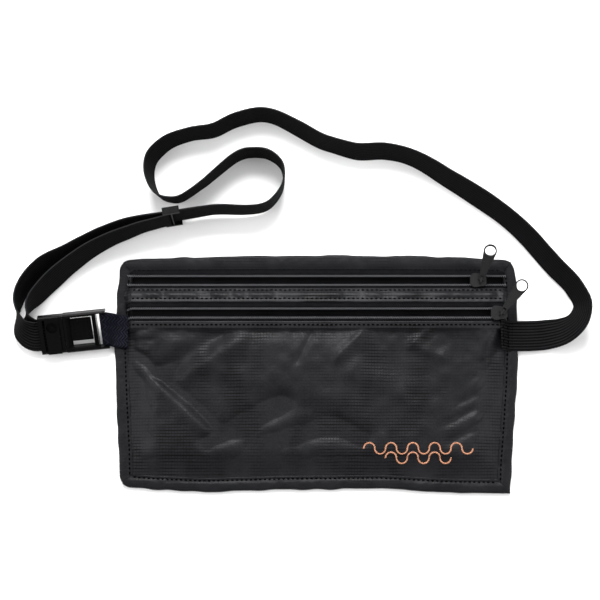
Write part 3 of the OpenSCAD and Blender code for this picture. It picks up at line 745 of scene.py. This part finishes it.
def make_front():
    coarse = panel_grid(-PANEL_Y, FRONT_EDGE, 3.2 * MM)
    fine = panel_grid(-PANEL_Y, FRONT_EDGE, 0.8 * MM)
    x, y = fine
    height = filled(*coarse, HEM_TOP, FRONT_TOP)
    shaped = height + creases(*coarse) * ease((height - HEM_TOP) / (3 * MM))
    shaped = slacken(*coarse, shaped, 0.02, 5)
    z = resample(shaped, x.shape)
    open_ground = ease((filled(x, y, 0, 1) - 0.1) / 0.5)
    z += 0.35 * (creases(x, y) - resample(creases(*coarse), x.shape)) * open_ground
    z += 0.36 * MM * field(8, 7 * MM)(x, y) * open_ground
    seam = np.minimum(np.minimum(PANEL_X - np.abs(x), y + PANEL_Y), FRONT_EDGE - y)
    z += puckers(x, y, seam - 2.5 * MM, 31, 0.6 * MM)
    hem = np.exp(-((FRONT_EDGE - y - 2.4 * MM) / (0.8 * MM)) ** 2)
    z -= 0.3 * MM * hem
    fold = ease((FRONT_EDGE - y) / (0.9 * MM))
    z = np.where(y > FRONT_EDGE - 4 * MM, np.minimum(z, FRONT_TOP + 0.3 * MM), z) - 0.4 * MM * (1 - fold)
    z = np.where(y > FRONT_EDGE - 5 * MM, np.maximum(z, hem_height(x) - 0.1 * MM), z)
    z = np.maximum(z, filled(x, y, HEM_TOP - 0.6 * MM, REAR_TOP) + 0.9 * MM)
    px, py = relax(x, y)
    points, faces = slab(px, py, z, CLOTH_T)
    piece = mesh_piece("front_cloth", points, faces, RIPSTOP.data, "root")
    stand_for(piece, RIPSTOP, "front_panel")


def make_divider():
    x, y = panel_grid(-PANEL_Y, STRIP_HIGH + 1 * MM, 1.6 * MM)
    z = filled(x, y, HEM_TOP - 0.6 * MM, REAR_TOP) + 0.25 * MM * field(41, 16 * MM)(x, y)
    z = np.minimum(z, np.where(y > STRIP_LOW, shelf(x, y) - 0.9 * MM, 1))
    points, faces = slab(*relax(x, y), z, CLOTH_T)
    # The divider is drawn in the darkened lining: painted shade inside the front pocket.
    piece = mesh_piece("divider_cloth", points, faces, PAINTED_SHADE_LINING.data, "root")
    stand_for(piece, PAINTED_SHADE_LINING, "divider_panel")


def make_back():
    x, y = panel_grid(-PANEL_Y, PANEL_Y, 1.6 * MM)
    z = BACK_TOP - 0.1 * MM + 0.08 * MM * field(42, 20 * MM)(x, y)
    points, faces = slab(*relax(x, y), z, CLOTH_T)
    piece = mesh_piece("back_cloth", points, faces, RIPSTOP.data, "root")
    # The back's inner face, inside the pouch, takes the darkened lining: painted shade seen through the
    # rear zip.
    piece.data.materials.append(PAINTED_SHADE_LINING.data)
    inner = (z.shape[0] - 1) * (z.shape[1] - 1)
    piece.data.polygons.foreach_set("material_index", [1] * inner + [0] * (len(faces) - inner))
    stand_for(piece, RIPSTOP, "back_panel")


def make_strip():
    low, high = STRIP_LOW - 2.3 * MM, STRIP_HIGH + 1.1 * MM
    x, y = panel_grid(low, high, 0.6 * MM)
    between = np.clip((y - STRIP_LOW - 0.7 * MM) / (STRIP_HIGH - STRIP_LOW - 1.4 * MM), 0, 1)
    crown = np.sin(math.pi * between)
    gathers = 0.8 * MM * field(51, 5 * MM)(x + 0.5 * y, 0.3 * y) * crown
    edges = np.minimum(y - low, high - y) / (1.2 * MM)
    z = shelf(x, y) + 0.55 * MM + 0.8 * MM * crown + gathers + 0.35 * MM * np.sqrt(np.clip(edges, 0, 1))
    z += 0.12 * MM * field(52, 2.2 * MM)(x, y)
    points, faces = slab(*relax(x, y), z, CLOTH_T)
    piece = mesh_piece("strip_cloth", points, faces, RIPSTOP.data, "root")
    stand_for(piece, RIPSTOP, "middle_strip")


def make_tape(node, extra_low, extra_high):
    low, high = span(node)
    x, y = panel_grid(low[1] - extra_low, high[1] + extra_high, 0.9 * MM)
    z = hem_height(x) if node == "front_tape_lower" else shelf(x, y)
    z = z + 0.1 * MM * field(61, 5 * MM)(x, y)
    if node == "front_tape_lower":
        under_hem = ease((FRONT_EDGE + 0.6 * MM - y) / (1.2 * MM))
        z -= 0.75 * MM * under_hem
    points, faces = slab(*relax(x, y), z, CLOTH_T)
    piece = mesh_piece(node + "_weave", points, faces, TAPE.data, "root")
    stand_for(piece, TAPE, node)


make_front()
make_divider()
make_back()
make_strip()
make_tape("front_tape_lower", 3 * MM, 0)
make_tape("front_tape_upper", 0, 1.5 * MM)
make_tape("rear_tape_lower", 1.5 * MM, 0)
make_tape("rear_tape_upper", 0, 0)

# ---------------------------------------------------------------- bindings


def binding_profile():
    """Inset from the outer edge and height, round the folded cloth, from the inner lower edge."""
    turns = np.linspace(-math.pi / 2, math.pi / 2, 9)
    r = BINDING_T / 2
    outer = [(r - r * math.cos(a), r + r * math.sin(a)) for a in turns]
    upper = [(d, BINDING_T) for d in np.linspace(2.2 * MM, BAND_W - 0.8 * MM, 9)]
    tuck = [(BAND_W, BINDING_T - 0.5 * MM), (BAND_W, BINDING_T - 1.1 * MM)]
    return np.array([(BAND_W, 0.1 * MM)] + outer + upper + tuck)


def make_binding(side, length, place, seed, lift):
    """One side's folded cloth, with mitred ends. place turns (along, inset) into x, y."""
    profile = binding_profile()
    f = np.linspace(-1, 1, int(length / (0.8 * MM)))
    inset = profile[None, :, 0] + 0 * f[:, None]
    along = f[:, None] * (length / 2 - inset)
    height = profile[None, :, 1] + 0 * along
    upper = (profile[:, 1] > BINDING_T * 0.7)[None, :] * 1.0
    middle_of = np.exp(-((inset - BAND_W * 0.42) / (2.6 * MM)) ** 2)
    seam_dip = np.exp(-((inset - SEAM_INSET) / (1.0 * MM)) ** 2)
    height += upper * (0.3 * MM * middle_of - 0.7 * MM * seam_dip + lift)
    gathers = field(seed, 4.2 * MM)(along + 0.5 * inset, inset * 0.5)
    height += upper * 0.34 * MM * gathers * (inset / BAND_W + 0.15)
    height += upper * 0.1 * MM * field(seed + 1, 1.9 * MM)(along, inset)
    wobble = 0.45 * MM * field(seed + 2, 9 * MM)(along, 0 * along)
    inset = inset + wobble * np.exp(-inset / (4 * MM))
    x, y = relax(*place(along, inset))
    points = np.stack([x, y, np.maximum(height, 0.02 * MM)], -1)
    rings, sides = height.shape
    faces = grid_faces(rings, sides, wrap=True)
    faces += [tuple(range(sides))[::-1], tuple(range((rings - 1) * sides, rings * sides))]
    piece = mesh_piece(f"binding_{side}_fold", points.reshape(-1, 3), faces, BINDING.data, "root")
    stand_for(piece, BINDING, f"binding_{side}")


BINDING_PLACES = {
    "top": (2 * EDGE_X, lambda a, d: (-a, EDGE_Y - d), 0.25 * MM),
    "bottom": (2 * EDGE_X, lambda a, d: (a, d - EDGE_Y), 0.25 * MM),
    "left": (2 * EDGE_Y, lambda a, d: (d - EDGE_X, -a), 0),
    "right": (2 * EDGE_Y, lambda a, d: (EDGE_X - d, a), 0),
}
for number, (side, (length, place, lift)) in enumerate(BINDING_PLACES.items()):
    make_binding(side, length, place, 70 + 5 * number, lift)

# ---------------------------------------------------------------- stitching

STITCH = 3.0 * MM
STITCH_GAP = 0.34               # the share of each stitch that lies under the cloth
STITCH_R = 0.44 * MM
STRAND_RING = np.linspace(0, 2 * math.pi, 6, endpoint=False)


def add_strand(points, faces, centres, radii, side):
    """Adds one short length of thread: a ring at each centre, closed at both ends."""
    sides, base = len(STRAND_RING), len(points)
    for centre, radius in zip(centres, radii):
        points += [centre + radius * (math.cos(a) * side + math.sin(a) * UP) for a in STRAND_RING]
    last = len(points) - sides
    faces += grid_faces(len(centres), sides, base, wrap=True)
    faces += [tuple(range(base, base + sides))[::-1], tuple(range(last, last + sides))]


def stitches(name, line, seed):
    """A row of thread stitches along a line of points on the cloth."""
    line = np.asarray(line, float)
    along = np.concatenate([[0], np.cumsum(np.linalg.norm(np.diff(line, axis=0), axis=1))])
    rng = np.random.default_rng(seed)
    points, faces = [], []
    # each ring's place along the stitch, rise and width, the last two as shares of the radius
    profile = [(0.0, -0.6, 0.35), (0.2, 0.35, 0.95), (0.5, 0.6, 1.0), (0.8, 0.35, 0.95), (1.0, -0.6, 0.35)]
    for first in np.arange(0.4 * STITCH, along[-1] - STITCH, STITCH):
        skew = rng.normal(0, 0.07 * MM, 2)
        places = (first, first + STITCH * (1 - STITCH_GAP))
        start, end = np.array([[np.interp(v, along, line[:, k]) for k in range(3)] for v in places])
        side = unit(np.cross(unit(end - start), UP))
        centres, radii = [], []
        for t, lift, width in profile:
            drift = side * (skew[0] + (skew[1] - skew[0]) * t)
            centres.append(start + (end - start) * t + drift + UP * STITCH_R * lift)
            radii.append(STITCH_R * width)
        add_strand(points, faces, centres, radii, side)
    piece = mesh_piece(name, np.array(points), faces, SEAM.data, "root")


def surface_of(name):
    """A function that gives the height of a piece's top at a place, by casting a ray down."""
    piece = bpy.data.objects[name]

    def height(x, y):
        hit, place, _, _ = piece.ray_cast(Vector((x, y, 0.1)), Vector((0, 0, -1)))
        return place.z if hit else None

    return height


def lay_on(xs, ys, *names):
    """The line of points, in flat pouch places, laid on the highest of the named pieces."""
    tops = [surface_of(n) for n in names]
    line = []
    for x, y in zip(*relax(xs, ys)):
        found = [h for h in (top(x, y) for top in tops) if h is not None]
        if found:
            line.append((x, y, max(found)))
    return line


def across(y):
    """Places along a line from one side binding to the other."""
    half = EDGE_X - BAND_W - 0.5 * MM
    xs = np.arange(-half, half, 1.1 * MM)
    return xs, np.full_like(xs, y)


seam_x, seam_y = EDGE_X - SEAM_INSET, EDGE_Y - SEAM_INSET
bpy.context.view_layer.update()
stitches("seam_front_hem", lay_on(*across(FRONT_EDGE - 2.3 * MM), "front_cloth"), 1)
stitches("seam_strip_low", lay_on(*across(STRIP_LOW + 0.5 * MM), "strip_cloth"), 2)
stitches("seam_strip_high", lay_on(*across(STRIP_HIGH - 0.5 * MM), "strip_cloth"), 3)
long_xs = np.arange(-seam_x, seam_x, 1.1 * MM)
tall_ys = np.arange(-seam_y, seam_y, 1.1 * MM)
for sign, side in ((1, "top"), (-1, "bottom")):
    line = lay_on(long_xs, np.full_like(long_xs, sign * seam_y), f"binding_{side}_fold")
    stitches(f"seam_{side}", line, 5 + sign)
for sign, side in ((1, "right"), (-1, "left")):
    line = lay_on(np.full_like(tall_ys, sign * seam_x), tall_ys, f"binding_{side}_fold")
    stitches(f"seam_{side}", line, 8 + sign)

# ---------------------------------------------------------------- zips

COIL_PITCH = 1.45 * MM
COIL_WIRE = 0.26 * MM


def make_coil(node):
    """A nylon coil: one strand wound round the tape's edge."""
    centre = middle(node)
    turns = 2 * COIL_END / COIL_PITCH
    per_turn, sides = 12, 6
    a = np.arange(int(turns * per_turn)) * 2 * math.pi / per_turn
    x = -COIL_END + a / (2 * math.pi) * COIL_PITCH
    # the rear coils lie level, so that their slider clears them over its whole travel
    sag = 0 if "rear" in node else hem_height(x) - FRONT_TOP
    z_mid = centre[2] + sag
    y = centre[1] + (COIL_R - COIL_WIRE) * np.cos(a)
    z = z_mid + (COIL_R - COIL_WIRE) * np.sin(a)
    line = np.stack([x, y, z], 1)
    ahead = unit(np.gradient(line, axis=0))
    side = unit(np.cross(ahead, [1.0, 0, 0]))
    up = np.cross(side, ahead)
    ring = np.linspace(0, 2 * math.pi, sides, endpoint=False)
    points = line[:, None] + COIL_WIRE * (
        np.cos(ring)[None, :, None] * side[:, None] + np.sin(ring)[None, :, None] * up[:, None]
    )
    faces = grid_faces(len(line), sides, wrap=True)
    faces += [tuple(range(sides))[::-1], tuple(range((len(line) - 1) * sides, len(line) * sides))]
    piece = mesh_piece(node + "_turns", points.reshape(-1, 3), faces, COIL.data, "root")
    stand_for(piece, COIL, node)


for pocket in ("rear", "front"):
    for half in ("upper", "lower"):
        make_coil(f"{pocket}_coil_{half}")

# ---------------------------------------------------------------- the strap's sewn end


def make_strap_end():
    """The last of the elastic, sewn down over the binding and the edge of the front."""
    start, end = 119.6 * MM, RUN_ROUTE[0][0] + 0.05 * MM
    middle_y = RUN_ROUTE[0][1]
    xs = np.linspace(start, end, 14)
    tops = [surface_of("front_cloth"), surface_of("binding_right_fold")]
    heights = []
    for x in xs:
        under = [top(x, middle_y + dy) for top in tops for dy in (-8 * MM, 0, 8 * MM)]
        heights.append(max([h for h in under if h is not None] + [0]) + STRAP_T / 2 + 0.05 * MM)
    heights = np.array(heights)
    last = long_line[0][2]
    blend_in = ease((xs - (end - 4 * MM)) / (4 * MM))
    heights = heights * (1 - blend_in) + last * blend_in
    heights[1:-1] = (heights[:-2] + heights[1:-1] + heights[2:]) / 3
    centres = np.stack([xs, np.full_like(xs, middle_y), heights], 1)
    widths = np.tile([0, -1.0, 0], (len(xs), 1))
    normals = unit(np.cross(np.gradient(centres, axis=0), widths))
    piece = band_mesh("strap_sewn_end", centres, widths, normals, elastic_outline(), ELASTIC, "root")
    top = surface_of("strap_sewn_end")
    for number, x in enumerate((start + 1.4 * MM, start + 5.4 * MM)):
        ys = np.arange(middle_y - 9 * MM, middle_y + 9 * MM, 1 * MM)
        line = [(x, y, top(x, y)) for y in ys if top(x, y) is not None]
        stitches(f"seam_strap_end_{number}", line, 40 + number)


bpy.context.view_layer.update()
make_strap_end()

# ---------------------------------------------------------------- webbing tab

BUCKLE_AT = np.array([-164, 26.7, 9.3]) * MM    # the buckle's origin
BUCKLE_YAW, BUCKLE_ROLL = math.radians(6), math.radians(27)
SOCKET_BAR = 26.3 * MM          # how far the socket's bar lies from the buckle's origin
SLEEVE_R = 2.3 * MM

# The tab's two tails between the binding and the bar, as x, y, z in millimetres and tilt in degrees.
TAB_UPPER = [(-123.5, 27.9, 4.6, 0), (-127, 28, 4, 0), (-130.5, 28.4, 4.8, 5), (-133.5, 29, 7.8, 17)]
TAB_LOWER = [(-133.5, 29.2, 5.4, 15), (-130.5, 28.6, 3.6, 4), (-127.5, 28.1, 3, 0)]


def blur_line(v):
    v = v.copy()
    v[1:-1] = (v[:-2] + 2 * v[1:-1] + v[2:]) / 4
    return v


def tail_frames(tail):
    """Centres and width directions of one tail."""
    centres = [np.array(p[:3]) * MM for p in tail]
    tilts = [math.radians(p[3]) for p in tail]
    return centres, [np.array([0, math.cos(t), math.sin(t)]) for t in tilts]


def tab_outline():
    """The webbing's outline, flat with rounded edges: (place across, place through)."""
    half_w, half_t = 11 * MM, 0.55 * MM
    u = np.linspace(half_w, -half_w, 23)
    round_off = np.clip((np.abs(u) - (half_w - half_t)) / half_t, 0, 1)
    v = half_t * np.sqrt(np.clip(1 - round_off ** 2, 0.05, 1))
    return np.concatenate([np.column_stack([u, v]), np.column_stack([u[::-1], -v[::-1]])[1:-1]])


def make_tab():
    """The webbing that goes round the socket's bar and back to the binding."""
    into = np.array([math.cos(BUCKLE_YAW), math.sin(BUCKLE_YAW), 0])
    level = np.array([-math.sin(BUCKLE_YAW), math.cos(BUCKLE_YAW), 0])
    across_bar = level * math.cos(BUCKLE_ROLL) + UP * math.sin(BUCKLE_ROLL)
    out = np.cross(into, across_bar)
    bar = BUCKLE_AT + into * SOCKET_BAR
    turns = np.radians(np.linspace(62, 298, 15))
    loop = [bar + SLEEVE_R * (math.cos(a) * into + math.sin(a) * out) for a in turns]
    upper, upper_widths = tail_frames(TAB_UPPER)
    lower, lower_widths = tail_frames(TAB_LOWER)
    rough = np.array(upper + loop + lower)
    rough_widths = np.array(upper_widths + [across_bar] * len(loop) + lower_widths)
    places = np.arange(len(rough))
    steps = np.linspace(0, len(rough) - 1, 90)
    centres = np.stack([np.interp(steps, places, blur_line(rough[:, k])) for k in range(3)], 1)
    widths = unit(np.stack([np.interp(steps, places, rough_widths[:, k]) for k in range(3)], 1))
    normals = unit(np.cross(np.gradient(centres, axis=0), widths))
    piece = band_mesh("tab_webbing_weave", centres, widths, normals, tab_outline(), WEBBING, "root")
    stand_for(piece, WEBBING, "tab_webbing")


make_tab()

# ---------------------------------------------------------------- embroidered motif

BOW_R = 3.5 * MM                # radius of each half wave
LINE_GAP = 6 * MM
LINE_HALF = 0.45 * MM
SATIN_PITCH = 0.42 * MM
SATIN_R = 0.15 * MM
SATIN_RISE = 0.16 * MM


def make_motif():
    """Two waves of satin stitch, each stitch a strand across the line."""
    low, high = span("stitched_motif")
    start_x = low[0] + LINE_HALF + BOW_R
    top_y = high[1] - LINE_HALF - BOW_R
    # each line's y, number of half waves and starting x
    rows = ((top_y, 10, start_x), (top_y - LINE_GAP, 6, start_x + 4 * BOW_R))
    profile = ((-1, -0.5, 0.4), (-0.6, 0.8, 1), (0, 1.5, 1.1), (0.6, 0.8, 1), (1, -0.5, 0.4))
    height = surface_of("front_cloth")
    rng = np.random.default_rng(90)
    points, faces = [], []
    for y0, bows, x0 in rows:
        for a in np.arange(0, bows * math.pi, SATIN_PITCH / BOW_R):
            k = int(a / math.pi)
            turn = math.pi - (a - k * math.pi)
            flip = 1 if k % 2 == 0 else -1
            radial = np.array([math.cos(turn), flip * math.sin(turn), 0])
            tangent = np.array([-radial[1], radial[0], 0])
            centre = np.array([x0 + 2 * BOW_R * k, y0, 0]) + BOW_R * radial
            strand = unit(radial + 0.45 * tangent)
            half = (0.62 + rng.uniform(-0.08, 0.08)) * MM
            top = height(centre[0], centre[1])
            centre[2] = (FRONT_TOP if top is None else top) + 0.06 * MM
            side = unit(np.cross(strand, UP))
            centres = [centre + strand * half * t + UP * SATIN_RISE * lift for t, lift, width in profile]
            add_strand(points, faces, centres, [SATIN_R * width for t, lift, width in profile], side)
    piece = mesh_piece("motif_thread", np.array(points), faces, COPPER.data, "root")
    stand_for(piece, COPPER, "stitched_motif")


make_motif()

# ---------------------------------------------------------------- finishes of the moulded and metal parts


def finish_node(node, material, bevel):
    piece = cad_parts[node]
    piece.data.materials.clear()
    piece.data.materials.append(material.data)
    piece.data.polygons.foreach_set("material_index", [0] * len(piece.data.polygons))
    rounding = piece.modifiers.new("rounding", "BEVEL")
    rounding.width = bevel
    rounding.segments = 4
    rounding.limit_method = "ANGLE"
    rounding.angle_limit = math.radians(35)


for node in ("buckle_socket", "buckle_plug", "buckle_tongue", "strap_adjuster"):
    finish_node(node, PLASTIC, 0.25 * MM)
for node in ("rear_slider", "front_slider", "rear_pull", "front_pull"):
    finish_node(node, METAL, 0.16 * MM)
